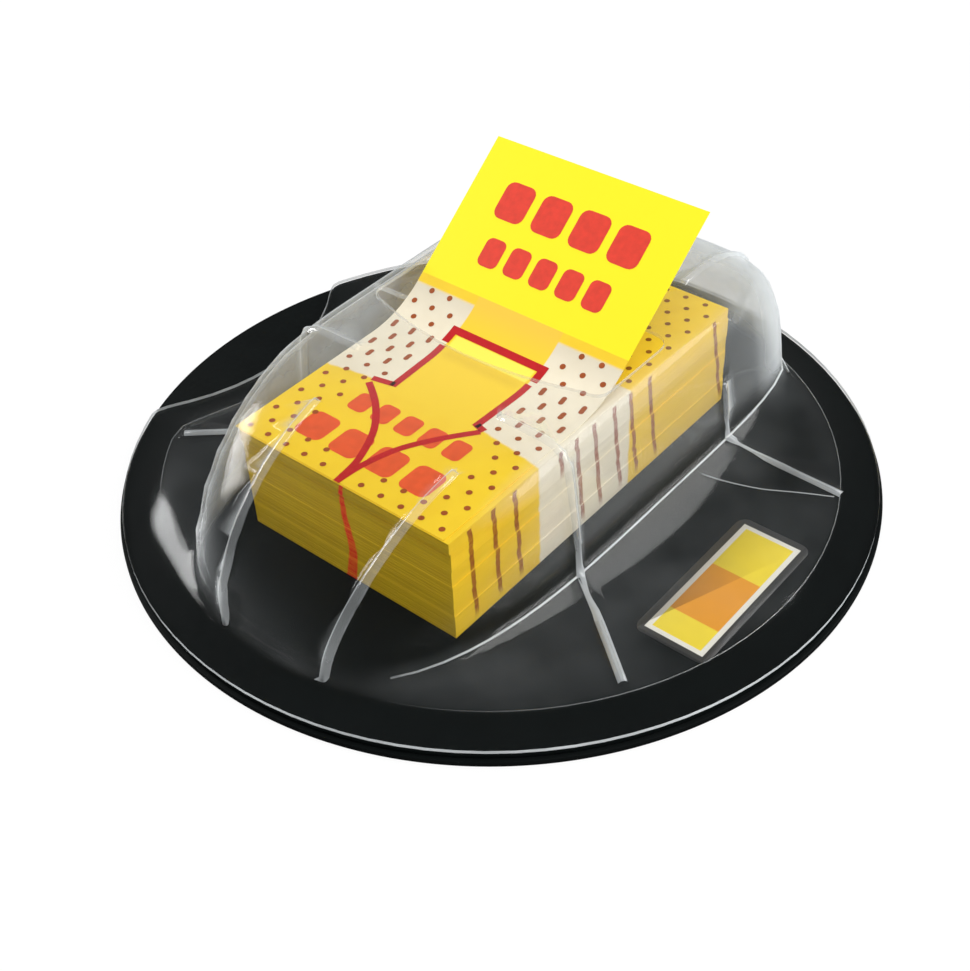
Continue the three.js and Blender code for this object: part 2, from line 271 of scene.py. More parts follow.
class Wires:
    """Short ways to add nodes to a tree and to join them."""

    def __init__(self, tree):
        self.tree = tree

    def node(self, kind, **settings):
        made = self.tree.nodes.new(kind)
        for key, value in settings.items():
            setattr(made, key, value)
        return made

    def feed(self, socket, value):
        """Links a socket to another one, or sets it to a number or colour."""
        if isinstance(value, bpy.types.NodeSocket):
            self.tree.links.new(value, socket)
        elif isinstance(value, tuple) and len(value) == 3 and socket.type == "RGBA":
            socket.default_value = (*value, 1)
        else:
            socket.default_value = value

    def math(self, operation, *values):
        made = self.node("ShaderNodeMath", operation=operation)
        for socket, value in zip(made.inputs, values):
            self.feed(socket, value)
        return made.outputs[0]

    def plus(self, first, second):
        return self.math("ADD", first, second)

    def minus(self, first, second):
        return self.math("SUBTRACT", first, second)

    def times(self, first, *others):
        for other in others:
            first = self.math("MULTIPLY", first, other)
        return first

    def line(self, value, slope, start):
        """start where value is 0, and slope more where it is 1."""
        return self.math("MULTIPLY_ADD", value, slope, start)

    def ramp(self, value, start, end):
        """0 where value is at start, 1 at end, and never past them."""
        made = self.node("ShaderNodeMapRange")
        self.feed(made.inputs["Value"], value)
        self.feed(made.inputs["From Min"], start)
        self.feed(made.inputs["From Max"], end)
        return made.outputs[0]

    def within(self, value, centre, half, soft):
        """1 where value is nearer to centre than half, with a soft edge."""
        off = self.math("ABSOLUTE", self.minus(value, centre))
        return self.ramp(off, self.plus(half, soft), self.minus(half, soft))


class Finish(Wires):
    """A material whose patterns read Object coordinates in millimetres."""

    def __init__(self, name, roughness, specular=0.5):
        self.mat = bpy.data.materials.new(name)
        self.mat.use_nodes = True
        super().__init__(self.mat.node_tree)
        self.shader = self.tree.nodes["Principled BSDF"]
        self.shader.inputs["Roughness"].default_value = roughness
        self.shader.inputs["Specular IOR Level"].default_value = specular
        self.coords = self.node("ShaderNodeTexCoord")
        scaled = self.node("ShaderNodeMapping")
        scaled.inputs["Scale"].default_value = (1 / MM, 1 / MM, 1 / MM)
        self.feed(scaled.inputs["Vector"], self.coords.outputs["Object"])
        self.place = scaled.outputs[0]

    def split(self, vector):
        """X, Y and Z of a vector."""
        made = self.node("ShaderNodeSeparateXYZ")
        self.feed(made.inputs[0], vector)
        return made.outputs

    def mix(self, share, first, second, blend_type="MIX"):
        """Two colours mixed. Sockets 6 and 7 of a Mix node take colours, and 2 gives one."""
        made = self.node("ShaderNodeMix", data_type="RGBA", blend_type=blend_type)
        self.feed(made.inputs[0], share)
        self.feed(made.inputs[6], first)
        self.feed(made.inputs[7], second)
        return made.outputs[2]

    def noise(self, scale, detail=3.0, stretch=(1, 1, 1)):
        mapped = self.node("ShaderNodeMapping")
        mapped.inputs["Scale"].default_value = stretch
        self.feed(mapped.inputs["Vector"], self.place)
        made = self.node("ShaderNodeTexNoise")
        made.inputs["Scale"].default_value = scale
        made.inputs["Detail"].default_value = detail
        self.feed(made.inputs["Vector"], mapped.outputs[0])
        return made.outputs[0]

    def bump(self, height, strength, distance=0.05 * MM):
        made = self.node("ShaderNodeBump")
        made.inputs["Strength"].default_value = strength
        made.inputs["Distance"].default_value = distance
        self.feed(made.inputs["Height"], height)
        self.feed(self.shader.inputs["Normal"], made.outputs[0])

    def base(self, value):
        self.feed(self.shader.inputs["Base Color"], value)

    def blend(self, share, first, second):
        """Two shaders mixed."""
        made = self.node("ShaderNodeMixShader")
        for socket, value in zip(made.inputs, (share, first, second)):
            self.feed(socket, value)
        return made.outputs[0]

    def surface(self, shader):
        self.feed(self.tree.nodes["Material Output"].inputs["Surface"], shader)


def black_finish(name, shade, roughness, grain):
    """Black with faint clouds in its colour and gloss, and a fine grain."""
    finish = Finish(name, roughness, 0.1)
    darker = tuple(0.75 * c for c in shade)
    lighter = tuple(min(1.3 * c, 1) for c in shade)
    finish.base(finish.mix(finish.noise(0.35, 4), darker, lighter))
    rough = finish.ramp(finish.noise(1.2, 5), 0.3, 0.7)
    finish.feed(finish.shader.inputs["Roughness"], finish.line(rough, 0.14, roughness - 0.07))
    finish.bump(finish.noise(grain, 2), 0.03)
    return finish.mat


class TABS_OT_base(bpy.types.Operator):
    """Grip sheet and notched plate, with rounded edges"""
    bl_idname = "tabs.base"
    bl_label = "Base"

    def execute(self, context):
        sizes = context.scene.tab_base
        radius = (GRIP_HIGH.x - GRIP_LOW.x) / 2
        height = GRIP_HIGH.z - GRIP_LOW.z
        deselect()
        bpy.ops.mesh.primitive_cylinder_add(
            vertices=256, radius=radius, depth=height, location=(0, 0, height / 2))
        grip = context.active_object
        settle(grip)
        self.soften(grip, sizes.edge_round)
        rubber = black_finish("Grip rubber", tuple(sizes.rubber), 0.62, 2.0)
        keep(grip, "grip_sheet", "grip_pad", rubber, "grip_pad")

        plate = copy_of("base_plate")
        bpy.ops.object.mode_set(mode="EDIT")
        bpy.ops.mesh.select_all(action="SELECT")
        bpy.ops.mesh.dissolve_limited(angle_limit=math.radians(0.5))
        bpy.ops.object.mode_set(mode="OBJECT")
        self.lower_top(plate)
        self.soften(plate, sizes.edge_round)
        black = black_finish("Black plate", tuple(sizes.black), 0.4, 0.15)
        keep(plate, "plate", "base_plate", black, "base_plate")
        return {"FINISHED"}

    def lower_top(self, plate):
        """The plate's top comes down a little, so that it shows no flicker under the dome."""
        top = max(vertex.co.z for vertex in plate.data.vertices)
        for vertex in plate.data.vertices:
            if vertex.co.z > top - 0.01 * MM:
                vertex.co.z = top - 0.02 * MM

    def soften(self, obj, width):
        bevel = obj.modifiers.new("Edge", "BEVEL")
        bevel.width = width
        bevel.segments = 3
        bevel.limit_method = "ANGLE"
        bevel.angle_limit = math.radians(40)
        apply_modifiers(obj)
        bpy.ops.object.shade_smooth_by_angle(angle=math.radians(45))


def film_point(sizes, across, along, lift):
    """A point of the raised flag: across and along it, and lift over its underside."""
    middle = (FLAG_LOW.x + FLAG_HIGH.x) / 2
    turn = min(max((along - sizes.stuck) / sizes.bend, 0), sizes.lean)
    flat = min(along, sizes.stuck)
    free = max(along - sizes.stuck - sizes.bend * sizes.lean, 0)
    radius = sizes.bend - lift
    y = FLAG_LOW.y + flat + radius * math.sin(turn) + free * math.cos(sizes.lean)
    z = FLAG_LOW.z + sizes.bend - radius * math.cos(turn) + free * math.sin(sizes.lean)
    return Vector((middle + across, y, z))


def flag_zones(finish, sizes, across, along):
    """A flag's own colours: yellow ends and a cream middle. Also gives where the cream is."""
    wobble = finish.times(finish.noise(0.8, 2), 0.5)
    bow = finish.times(across, across, -0.008)
    start = finish.plus(finish.plus(13.2, bow), wobble)
    cream = finish.times(finish.ramp(finish.minus(along, start), -0.15, 0.15),
                         finish.ramp(along, 26.35, 26.05))
    stain = finish.ramp(finish.noise(0.5, 3), 0.35, 0.75)
    creamy = finish.mix(finish.times(stain, 0.35), tuple(sizes.cream), CREAM_STAIN)
    warm = finish.mix(finish.times(stain, 0.45), tuple(sizes.yellow), YELLOW_STAIN)
    return finish.mix(cream, warm, creamy), cream


class TABS_OT_pad(bpy.types.Operator):
    """Pad of stacked films, each slipped a little against the next"""
    bl_idname = "tabs.pad"
    bl_label = "Pad"

    def execute(self, context):
        sizes = context.scene.tab_flags
        random.seed(7)
        count = sizes.films
        thick = (PAD_HIGH.z - PAD_LOW.z) / count
        deselect()
        bpy.ops.mesh.primitive_cube_add(size=1, location=(0, 0, PAD_LOW.z + thick / 2))
        film = context.active_object
        film.scale = (sizes.width, 2 * HALF_LENGTH * MM, thick)
        settle(film)
        built = bmesh.new()
        for i in range(count):
            slip = next((slip for top, slip in TIERS if i < top), TOP_SLIP)
            jitter = [random.uniform(-FILM_SLIP, FILM_SLIP) for _ in range(2)]
            if i == count - 1:
                jitter = [0, 0]
            layer = bmesh.new()
            layer.from_mesh(film.data)
            bmesh.ops.translate(layer, verts=layer.verts, vec=Vector((
                (slip[0] + jitter[0]) * MM, (slip[1] + jitter[1]) * MM, thick * i)))
            moved = bpy.data.meshes.new("layer")
            layer.to_mesh(moved)
            layer.free()
            built.from_mesh(moved)
            bpy.data.meshes.remove(moved)
        built.to_mesh(film.data)
        built.free()
        keep(film, "pad_of_films", "flag_pad", self.finish(sizes), "flag_pad")
        return {"FINISHED"}

    def finish(self, sizes):
        """The flags' print on top, on the sides the films' bands and the printed lines, and on the
        front face the films' olive edges darkened further by painted shade.
        """
        finish = Finish("Pad films", 0.5)
        x, y, z = finish.split(finish.place)
        colours, cream = flag_zones(finish, sizes, x, finish.plus(y, HALF_LENGTH))
        normal = finish.split(finish.node("ShaderNodeNewGeometry").outputs["Normal"])
        side = finish.math("GREATER_THAN", finish.math("ABSOLUTE", normal[0]), 0.5)
        ends = finish.math("GREATER_THAN", finish.math("ABSOLUTE", normal[1]), 0.5)
        front = finish.math("LESS_THAN", normal[1], -0.5)
        depth = finish.minus(PAD_TOP, z)

        bands = finish.noise(1.0, 2, (0.02, 0.02, 0.42))
        fine = finish.noise(1.0, 2, (0.06, 0.06, 2.4))
        streak = finish.times(finish.plus(side, ends), finish.line(
            finish.ramp(bands, 0.3, 0.7), 0.55, finish.times(fine, 0.2)))
        edges = finish.mix(cream, YELLOW_EDGE, CREAM_EDGE)
        shaded = finish.mix(finish.times(streak, 0.6), colours, edges)

        wiggle = finish.times(finish.minus(finish.noise(1.0, 3, (0.2, 0.2, 1.6)), 0.5), 0.5)
        lines = finish.times(self.side_lines(finish, finish.plus(y, wiggle), depth), side,
                             finish.math("GREATER_THAN", depth, 0.25))
        shaded = finish.mix(finish.times(lines, 0.95), shaded, SIDE_INK)
        # Painted shade: the front face is multiplied darker, over the films' own olive edges.
        painted_front_shade = finish.mix(1.0, shaded, FRONT_PAINTED_SHADE, "MULTIPLY")
        shaded = finish.mix(front, shaded, painted_front_shade)

        sway = finish.times(finish.math("SINE", finish.times(depth, 0.62)), 0.3)
        off = finish.plus(finish.times(wiggle, 0.5), sway)
        tip = finish.within(finish.plus(x, off), 0.25, finish.line(depth, 0.035, 0.24), 0.04)
        finish.base(finish.mix(finish.times(tip, front), shaded, FRONT_INK))
        finish.bump(finish.plus(fine, bands), 0.15, 0.08 * MM)
        return finish.mat

    def side_lines(self, finish, y, depth):
        """Lines that lean back a little as they go down, more so towards the rear."""
        lines = None
        for top in SIDE_LINES:
            slant = (0.4 + 0.055 * (top + 19)) / PAD_HEIGHT
            where = finish.line(depth, slant, top)
            reach = SHORT_REACH if top == SHORT_LINE else REACH
            line = finish.times(finish.within(y, where, SIDE_LINE_HALF, 0.05),
                                finish.ramp(depth, reach + 0.6, reach - 0.6))
            lines = line if lines is None else finish.math("MAXIMUM", lines, line)
        return lines


class Print:
    """Flat ink shapes laid on a surface that maps (across, along, lift) to a point."""

    def __init__(self, surface):
        self.surface = surface
        self.points = []
        self.faces = []

    def add(self, corners, lift):
        first = len(self.points)
        self.points += [self.surface(c[0] * MM, c[1] * MM, lift * MM) for c in corners]
        self.faces.append(tuple(range(first, len(self.points))))

    def stroke(self, points, width, lift, step=0.5):
        """A stroke of even width, cut in short parts so that it follows the bend."""
        fine = []
        for start, end in zip(points, points[1:]):
            start, end = Vector(start), Vector(end)
            parts = max(int((end - start).length / step), 1)
            fine += [start.lerp(end, k / parts) for k in range(parts)]
        fine.append(Vector(points[-1]))
        pairs = []
        for i, point in enumerate(fine):
            way = (fine[min(i + 1, len(fine) - 1)] - fine[max(i - 1, 0)]).normalized()
            side = Vector((-way.y, way.x)) * width / 2
            pairs.append((point + side, point - side))
        for (a, b), (c, d) in zip(pairs, pairs[1:]):
            self.add((b, d, c, a), lift)

    def dot(self, x, y, radius, lift, long=0.0):
        """A dot, or a dash where long gives how far its ends lie apart."""
        ring = []
        for k in range(DOT_SIDES):
            turn = 2 * math.pi * k / DOT_SIDES
            end = long / 2 if math.sin(turn) > 0 else -long / 2
            ring.append((x + radius * math.cos(turn), y + radius * math.sin(turn) + end))
        self.add(ring, lift)

    def block(self, x, y, wide, high, corner, lift):
        ring = []
        for cx, cy, start in ((1, 1, 0), (-1, 1, 90), (-1, -1, 180), (1, -1, 270)):
            for k in range(5):
                turn = math.radians(start + 22.5 * k)
                ring.append((x + cx * (wide / 2 - corner) + corner * math.cos(turn),
                             y + cy * (high / 2 - corner) + corner * math.sin(turn)))
        self.add(ring, lift)

    def row(self, count, first, step, y, wide, high, corner, lift):
        for k in range(count):
            self.block(first + step * k, y, wide, high, corner, lift)

    def piece(self, name, slot, finish):
        mesh = bpy.data.meshes.new(name)
        mesh.from_pydata([tuple(point) for point in self.points], [], self.faces)
        mesh.update()
        return keep(link(bpy.data.objects.new(name, mesh)), name, slot, finish)


def curve_through(points, steps=6):
    """A smooth curve through points."""
    made = []
    for i in range(len(points) - 1):
        p0 = Vector(points[max(i - 1, 0)])
        p1 = Vector(points[i])
        p2 = Vector(points[i + 1])
        p3 = Vector(points[min(i + 2, len(points) - 1)])
        for k in range(steps):
            t = k / steps
            made.append(0.5 * ((2 * p1) + (p2 - p0) * t
                               + (2 * p0 - 5 * p1 + 4 * p2 - p3) * t * t
                               + (3 * p1 - p0 - 3 * p2 + p3) * t ** 3))
    return made + [Vector(points[-1])]


def ink_finish(name, shade):
    finish = Finish(name, 0.42)
    worn = finish.ramp(finish.noise(1.3, 4), 0.35, 0.8)
    finish.base(finish.mix(worn, shade, tuple(0.82 * c for c in shade)))
    finish.bump(finish.noise(6.0, 3), 0.08)
    return finish.mat


def free_for_dot(x, along):
    """Whether a dot there is clear of the arrow, the blocks and the plain middle."""
    if along < 3.2:
        return abs(x) > 1.2
    if along < 12:
        return abs(x - 0.2) >= 8.3
    return abs(x) >= 6.3


class TABS_OT_flag(bpy.types.Operator):
    """Raised flag: a film with a bright end, bent up through the slot, and its print"""
    bl_idname = "tabs.flag"
    bl_label = "Raised flag"

    def execute(self, context):
        sizes = context.scene.tab_flags
        deselect()
        bpy.ops.mesh.primitive_grid_add(x_subdivisions=12, y_subdivisions=108, size=1)
        film = context.active_object
        layer = film.data.uv_layers.active
        for loop in film.data.loops:
            point = film.data.vertices[loop.vertex_index].co
            layer.data[loop.index].uv = (point.x + 0.5, point.y + 0.5)
        for vertex in film.data.vertices:
            across = vertex.co.x * sizes.width
            along = (vertex.co.y + 0.5) * FLAG_LENGTH * MM
            vertex.co = film_point(sizes, across, along, 0)
        solid = film.modifiers.new("Film", "SOLIDIFY")
        solid.thickness = FLAG_THICK * MM
        solid.offset = 1
        apply_modifiers(film)
        bpy.ops.object.shade_smooth_by_angle(angle=math.radians(40))
        keep(film, "raised_film", "raised_flag", self.finish(sizes), "raised_flag")
        self.print(sizes)
        return {"FINISHED"}

    def finish(self, sizes):
        """The print's flat colours, placed by the film's own UV map, with a painted shadow on the
        cream near the slot and a band of painted shade under the slot's front edge.
        """
        finish = Finish("Flag film", 0.38)
        u, v, _ = finish.split(finish.coords.outputs["UV"])
        across = finish.times(finish.minus(u, 0.5), sizes.width / MM)
        along = finish.times(v, FLAG_LENGTH)
        colours, cream = flag_zones(finish, sizes, across, along)
        shadow = finish.times(finish.ramp(along, 23.0, 26.5), 0.4, cream)
        colours = finish.mix(shadow, colours, CREAM_SHADE)
        stripe = finish.times(finish.within(across, 0, 5.2, 0.06), finish.ramp(along, 12.5, 12.7))
        inside = finish.mix(finish.ramp(along, 22.5, 26.5), tuple(sizes.yellow), YELLOW_INSIDE)
        colours = finish.mix(stripe, colours, inside)
        pale = finish.times(finish.within(along, 21.75, 0.8, 0.08),
                            finish.within(across, 0, 4.85, 0.08))
        colours = finish.mix(pale, colours, tuple(sizes.pale))
        # Painted shade: a darker yellow band where the slot's front edge shades the flag.
        slot_edge_shade = finish.times(finish.within(along, 20.2, 0.5, 0.5),
                            finish.within(across, 0, 4.6, 0.4), 0.35)
        colours = finish.mix(slot_edge_shade, colours, YELLOW_SLOT_SHADE)
        tab = finish.ramp(along, 27.22, 27.32)
        finish.base(finish.mix(tab, colours, tuple(sizes.bright)))
        finish.bump(finish.noise(2.5, 3), 0.06)
        return finish.mat

    def print(self, sizes):
        def surface(across, along, lift):
            return film_point(sizes, across, along, FLAG_THICK * MM + lift)

        outline = Print(surface)
        for points, width, lift in OUTLINE:
            outline.stroke(points, width, lift)
        outline.stroke(curve_through(ARROW_LEFT), ARROW_WIDTH, ARROW_LIFT)
        outline.stroke(curve_through(ARROW_RIGHT), ARROW_WIDTH, INK_LIFT)
        dark_ink = ink_finish("Dark red ink", tuple(sizes.dark_ink))
        outline.piece("arrow_outline", "raised_flag", dark_ink)

        for name, rows, lift, ink in (
                ("tab_blocks", TAB_ROWS, INK_LIFT, ink_finish("Red ink", tuple(sizes.ink))),
                ("under_blocks", UNDER_ROWS, UNDER_LIFT, ink_finish("Red ink below", UNDER_INK))):
            blocks = Print(surface)
            for row in rows:
                blocks.row(*row, lift)
            blocks.piece(name, "raised_flag", ink)
        self.dots(sizes, surface)

    def dots(self, sizes, surface):
        """Dots in staggered rows over the flag, and past the slot on the pad under it."""
        dots = Print(surface)
        pad_dots = Print(lambda x, y, lift: Vector((x, PAD_LOW.y + y, PAD_HIGH.z + lift)))
        for row in range(DOT_ROWS):
            along = FIRST_ROW + ROW_STEP * row
            for column in range(-6, 7):
                x = COLUMN_STEP * (column + 0.5 * (row % 2))
                if abs(x) > 12.3:
                    continue
                if along > 27.5:
                    pad_dots.dot(x, along, 0.3, INK_LIFT)
                elif not free_for_dot(x, along):
                    continue
                elif 15.5 < along < 22:
                    dots.dot(x, along, 0.27, INK_LIFT, 0.55)
                else:
                    dots.dot(x, along, 0.31, INK_LIFT)
        dots.piece("film_dots", "raised_flag", ink_finish("Brown dots", tuple(sizes.dots)))
        pad_dots.piece("pad_dots", "flag_pad", ink_finish("Brown dots on the pad", PAD_DOT_INK))


class TABS_OT_label(bpy.types.Operator):
    """Plain printed sticker on the plate"""
    bl_idname = "tabs.label"
    bl_label = "Label"

    def execute(self, context):
        label = copy_of("base_label")
        bpy.ops.object.shade_smooth_by_angle(angle=math.radians(30))
        keep(label, "sticker", "base_label", self.finish(), "base_label")
        return {"FINISHED"}

    def finish(self):
        """Two yellow bands round an orange one, in a white line on a dark border."""
        finish = Finish("Sticker", 0.4)
        x, y, _ = finish.split(finish.place)
        centre = (LABEL_LOW + LABEL_HIGH) / 2 / MM
        half = (LABEL_HIGH - LABEL_LOW) / 2 / MM
        band = finish.within(y, centre.y - 1.5, half.y - 5.6, 0.05)
        made = finish.mix(band, LABEL_YELLOW, LABEL_ORANGE)
        for inset, border in ((1.25, LABEL_WHITE), (0.75, LABEL_DARK)):
            inner = finish.times(finish.within(x, centre.x, half.x - inset, 0.03),
                                 finish.within(y, centre.y, half.y - inset, 0.03))
            made = finish.mix(inner, border, made)
        dirt = finish.times(finish.noise(0.9, 3), 0.12)
        finish.base(finish.mix(dirt, made, LABEL_DIRT))
        finish.bump(finish.noise(5.0, 3), 0.1)
        return finish.mat


class TABS_OT_dome(bpy.types.Operator):
    """Clear formed dome"""
    bl_idname = "tabs.dome"
    bl_label = "Dome"

    def execute(self, context):
        sizes = context.scene.tab_dome
        dome = copy_of("clear_dome")
        bpy.ops.object.shade_smooth_by_angle(angle=sizes.smooth)
        keep(dome, "dome", "clear_dome", self.finish("Clear sheet", sizes), "clear_dome")
        # The ribs' extra milk is painted sheen along them.
        dome.data.materials.append(self.finish("Formed rib sheen", sizes, 0.34, 0.1))
        dome.data.materials.append(self.finish("Cut edge", sizes, 0.62, 0.1))
        for face in dome.data.polygons:
            corners = [dome.data.vertices[k].co / MM for k in face.vertices]
            if all(self.on_rib(corner, face.normal) for corner in corners):
                face.material_index = 1
            elif self.on_edge(face.center / MM, face.normal):
                face.material_index = 2
        self.fold_highlights(dome, sizes)
        return {"FINISHED"}

    def on_edge(self, centre, normal):
        """The sheet's cut edge, round the flange and round the slot."""
        if abs(normal.z) > 0.3:
            return False
        rim = centre.z < 1.58 and math.hypot(centre.x, centre.y) > 27
        slot = centre.z > 15.9 and abs(centre.x) < 14.1 and -4.6 < centre.y < 9.1
        return rim or slot

    def on_rib(self, point, normal):
        """On one of the ribs or their flares, which are all on the outer face."""
        x, y, z = point
        if abs(y) > 16.5 and z > 2.0:
            climb = (z - PLATE_TOP) / (CROWN - PLATE_TOP)
            spread = RIB_FOOT + RIB_SPREAD * climb
            if min(abs(x - RIB_MIDDLE - spread), abs(x - RIB_MIDDLE + spread)) < 0.62:
                return normal.dot(Vector((x * 0.3, y, z * 0.5))) > 0
        if abs(x) > 8.3 and z > 2.6:
            front = abs(y - FRONT_RIB) < 0.56
            back = abs(y - BACK_RIB) < 0.56 and z < 9.8 and abs(x) > 14
            if front or back:
                return normal.dot(Vector((x, 0, z))) > 0
        if abs(x) > 17 and 1.9 < z < 4.5:
            for out_x, out_y, foot_y in FLARES:
                share = min(max((abs(x) - FLARE_FOOT) / (out_x - FLARE_FOOT), 0), 1)
                middle = foot_y + (out_y - foot_y) * share
                if abs(y - middle) < 0.68 and abs(x) < out_x + 0.7:
                    return normal.z > 0
        return False

    def fold_highlights(self, dome, sizes):
        """Fine beads where the sheet is folded, canopy foot, skirt rim and gussets, whose pale milk
        is painted highlight along the creases.
        """
        mesh = bmesh.new()
        mesh.from_mesh(dome.data)
        foot, rim = [], []
        for edge in mesh.edges:
            if len(edge.link_faces) != 2:
                continue
            steep, flat = sorted((face.normal for face in edge.link_faces), key=lambda n: n.z)
            x, y, z = (edge.verts[0].co + edge.verts[1].co) / 2 / MM
            outward = steep.x * x + steep.y * y > 0 and steep.y > -0.6
            if outward and abs(steep.z) < 0.45 and flat.z > 0.55 and 1.9 < z < 8:
                foot.append(edge)
            elif (0.6 < steep.z < 0.86 < flat.z and 1.9 < z < 2.6
                  and math.hypot(x, y) > 26 and abs(x) > 12.5):
                rim.append(edge)
        # Painted highlight: pale milky beads along the canopy foot and the skirt rim.
        for name, edges, radius, haze_and_sheen in (
                ("canopy_foot_highlight", foot, 0.11, 0.5), ("skirt_rim_highlight", rim, 0.05, 0.1)):
            lines = [[vertex.co.copy() for vertex in line] for line in self.chains(edges)]
            lines = [line for line in lines if (line[0] - line[-1]).length > SHORTEST_FOLD * MM]
            finish = self.finish("Fold " + name, sizes, haze_and_sheen, 0.12, fades=True)
            self.beads(name, lines, radius, finish)
        mesh.free()
        # Painted highlight: pale milky beads along the gusset folds.
        gussets = []
        for side in (-1, 1):
            line = [self.on_skirt(dome, side * point.x, point.y) for point in curve_through(GUSSET)]
            gussets.append([point for point in line if point])
        self.beads("gusset_fold_highlights", gussets, 0.06, self.finish("Gusset fold highlight", sizes, 0.3, 0.12))

    def on_skirt(self, dome, x, y):
        """The point of the sheet's upper face over x, y."""
        hit, place, _, _ = dome.ray_cast(Vector((x * MM, y * MM, 0.1)), Vector((0, 0, -1)))
        return place if hit else None

    def chains(self, edges):
        """The edges as runs of joined vertices, in the mesh's own order."""
        left = dict.fromkeys(edges)
        runs = []
        while left:
            edge = next(iter(left))
            del left[edge]
            run = list(edge.verts)
            for end in (-1, 0):
                while True:
                    onward = next((e for e in run[end].link_edges if e in left), None)
                    if onward is None:
                        break
                    del left[onward]
                    run.insert(len(run) if end else 0, onward.other_vert(run[end]))
            runs.append(run)
        return runs

    def beads(self, name, lines, radius, finish):
        """A thin round bead along each line, as one piece."""
        curve = bpy.data.curves.new(name, "CURVE")
        curve.dimensions = "3D"
        curve.bevel_depth = radius * MM
        curve.bevel_resolution = 1
        curve.use_fill_caps = True
        for line in lines:
            spline = curve.splines.new("POLY")
            spline.points.add(len(line) - 1)
            for point, place in zip(spline.points, line):
                point.co = (*place, 1)
        make_active(link(bpy.data.objects.new(name, curve)))
        bpy.ops.object.convert(target="MESH")
        bpy.ops.object.shade_smooth()
        keep(bpy.context.active_object, name, "clear_dome", finish)

    def finish(self, name, sizes, extra=0.0, shine_least=0.017, fades=False):
        """Clear sheet with a gloss, a faint haze and, in its milk, painted reflection, highlight
        and sheen. extra makes it milkier, as painted sheen on a rib and painted highlight on a fold
        bead, and fades lets a fold's painted highlight die away towards the front."""
        finish = Finish(name, 0.3)
        place = finish.split(finish.place)
        finish.base(tuple(sizes.haze_and_sheen))
        finish.bump(finish.noise(0.12, 1), 0.1, 0.3 * MM)
        weight = finish.node("ShaderNodeLayerWeight")
        weight.inputs["Blend"].default_value = 0.5
        facing = weight.outputs["Facing"]
        clear = finish.node("ShaderNodeBsdfTransparent")
        finish.feed(clear.inputs["Color"], finish.mix(
            finish.math("POWER", facing, 2.0), (0.98, 0.98, 0.98), (0.93, 0.94, 0.95)))
        gloss = finish.node("ShaderNodeBsdfGlossy")
        gloss.inputs["Roughness"].default_value = 0.1
        share = finish.line(finish.math("POWER", facing, 4.5), 0.8, shine_least)
        haze_and_sheen = self.haze_and_sheen(finish, place, facing, extra)
        if fades:
            fade = finish.ramp(place[1], -32.0, -18.0)
            haze_and_sheen = finish.times(haze_and_sheen, fade)
            share = finish.times(share, fade)
        shine = finish.blend(share, clear.outputs[0], gloss.outputs[0])
        finish.surface(finish.blend(haze_and_sheen, shine, finish.shader.outputs[0]))
        return finish.mat

    def haze_and_sheen(self, finish, place, facing, extra):
        """How milky the sheet is: a trace of haze on the skirt, more on the left and rear walls as
        painted reflection, on the shoulders as painted highlight, and most where it is seen at
        a slant, as painted sheen."""
        x, y, z = place
        streaks = finish.ramp(finish.noise(0.11, 4, (1, 1, 0.5)), 0.3, 0.72)
        radius = finish.math("SQRT", finish.plus(
            finish.math("POWER", x, 2.0), finish.math("POWER", y, 2.0)))
        canopy = finish.ramp(z, 2.4, 4.5)
        skirt = finish.times(finish.ramp(radius, 34.2, 33.6), finish.ramp(z, 1.6, 2.0))
        skirt = finish.times(finish.minus(skirt, canopy), finish.line(streaks, 0.022, 0.004))
        left = finish.times(finish.ramp(x, -14.5, -17.0), 0.85)
        rear = finish.ramp(y, 21.0, 29.0)
        # Painted reflection: the left and rear walls are milkier, standing in for the white that
        # they reflect.
        wall_reflection = finish.times(
            finish.math("MAXIMUM", left, rear), canopy, finish.line(streaks, 0.2, 0.22))
        # Painted highlight along the canopy's shoulders.
        shoulder_highlight = finish.times(
            finish.within(z, 15.3, 1.1, 0.6),
            finish.ramp(finish.math("ABSOLUTE", x), 13.2, 15.0), finish.line(streaks, 0.06, 0.03))
        # Painted sheen: more milk where the sheet is seen at a slant.
        grazing_sheen = finish.times(finish.math("POWER", facing, 3.6), 0.62, canopy)
        haze_and_sheen = finish.plus(finish.math("MAXIMUM", skirt, 0.0006),
                           finish.plus(finish.plus(wall_reflection, shoulder_highlight), grazing_sheen))
        # extra adds milk, strongest low down: painted sheen on a rib and painted highlight on a
        # fold bead.
        if extra:
            low = finish.line(finish.ramp(z, 9.0, 2.5), extra * 0.8, extra * 0.4)
            haze_and_sheen = finish.plus(haze_and_sheen, finish.times(finish.line(streaks, 0.5, 0.6), low))
        return haze_and_sheen


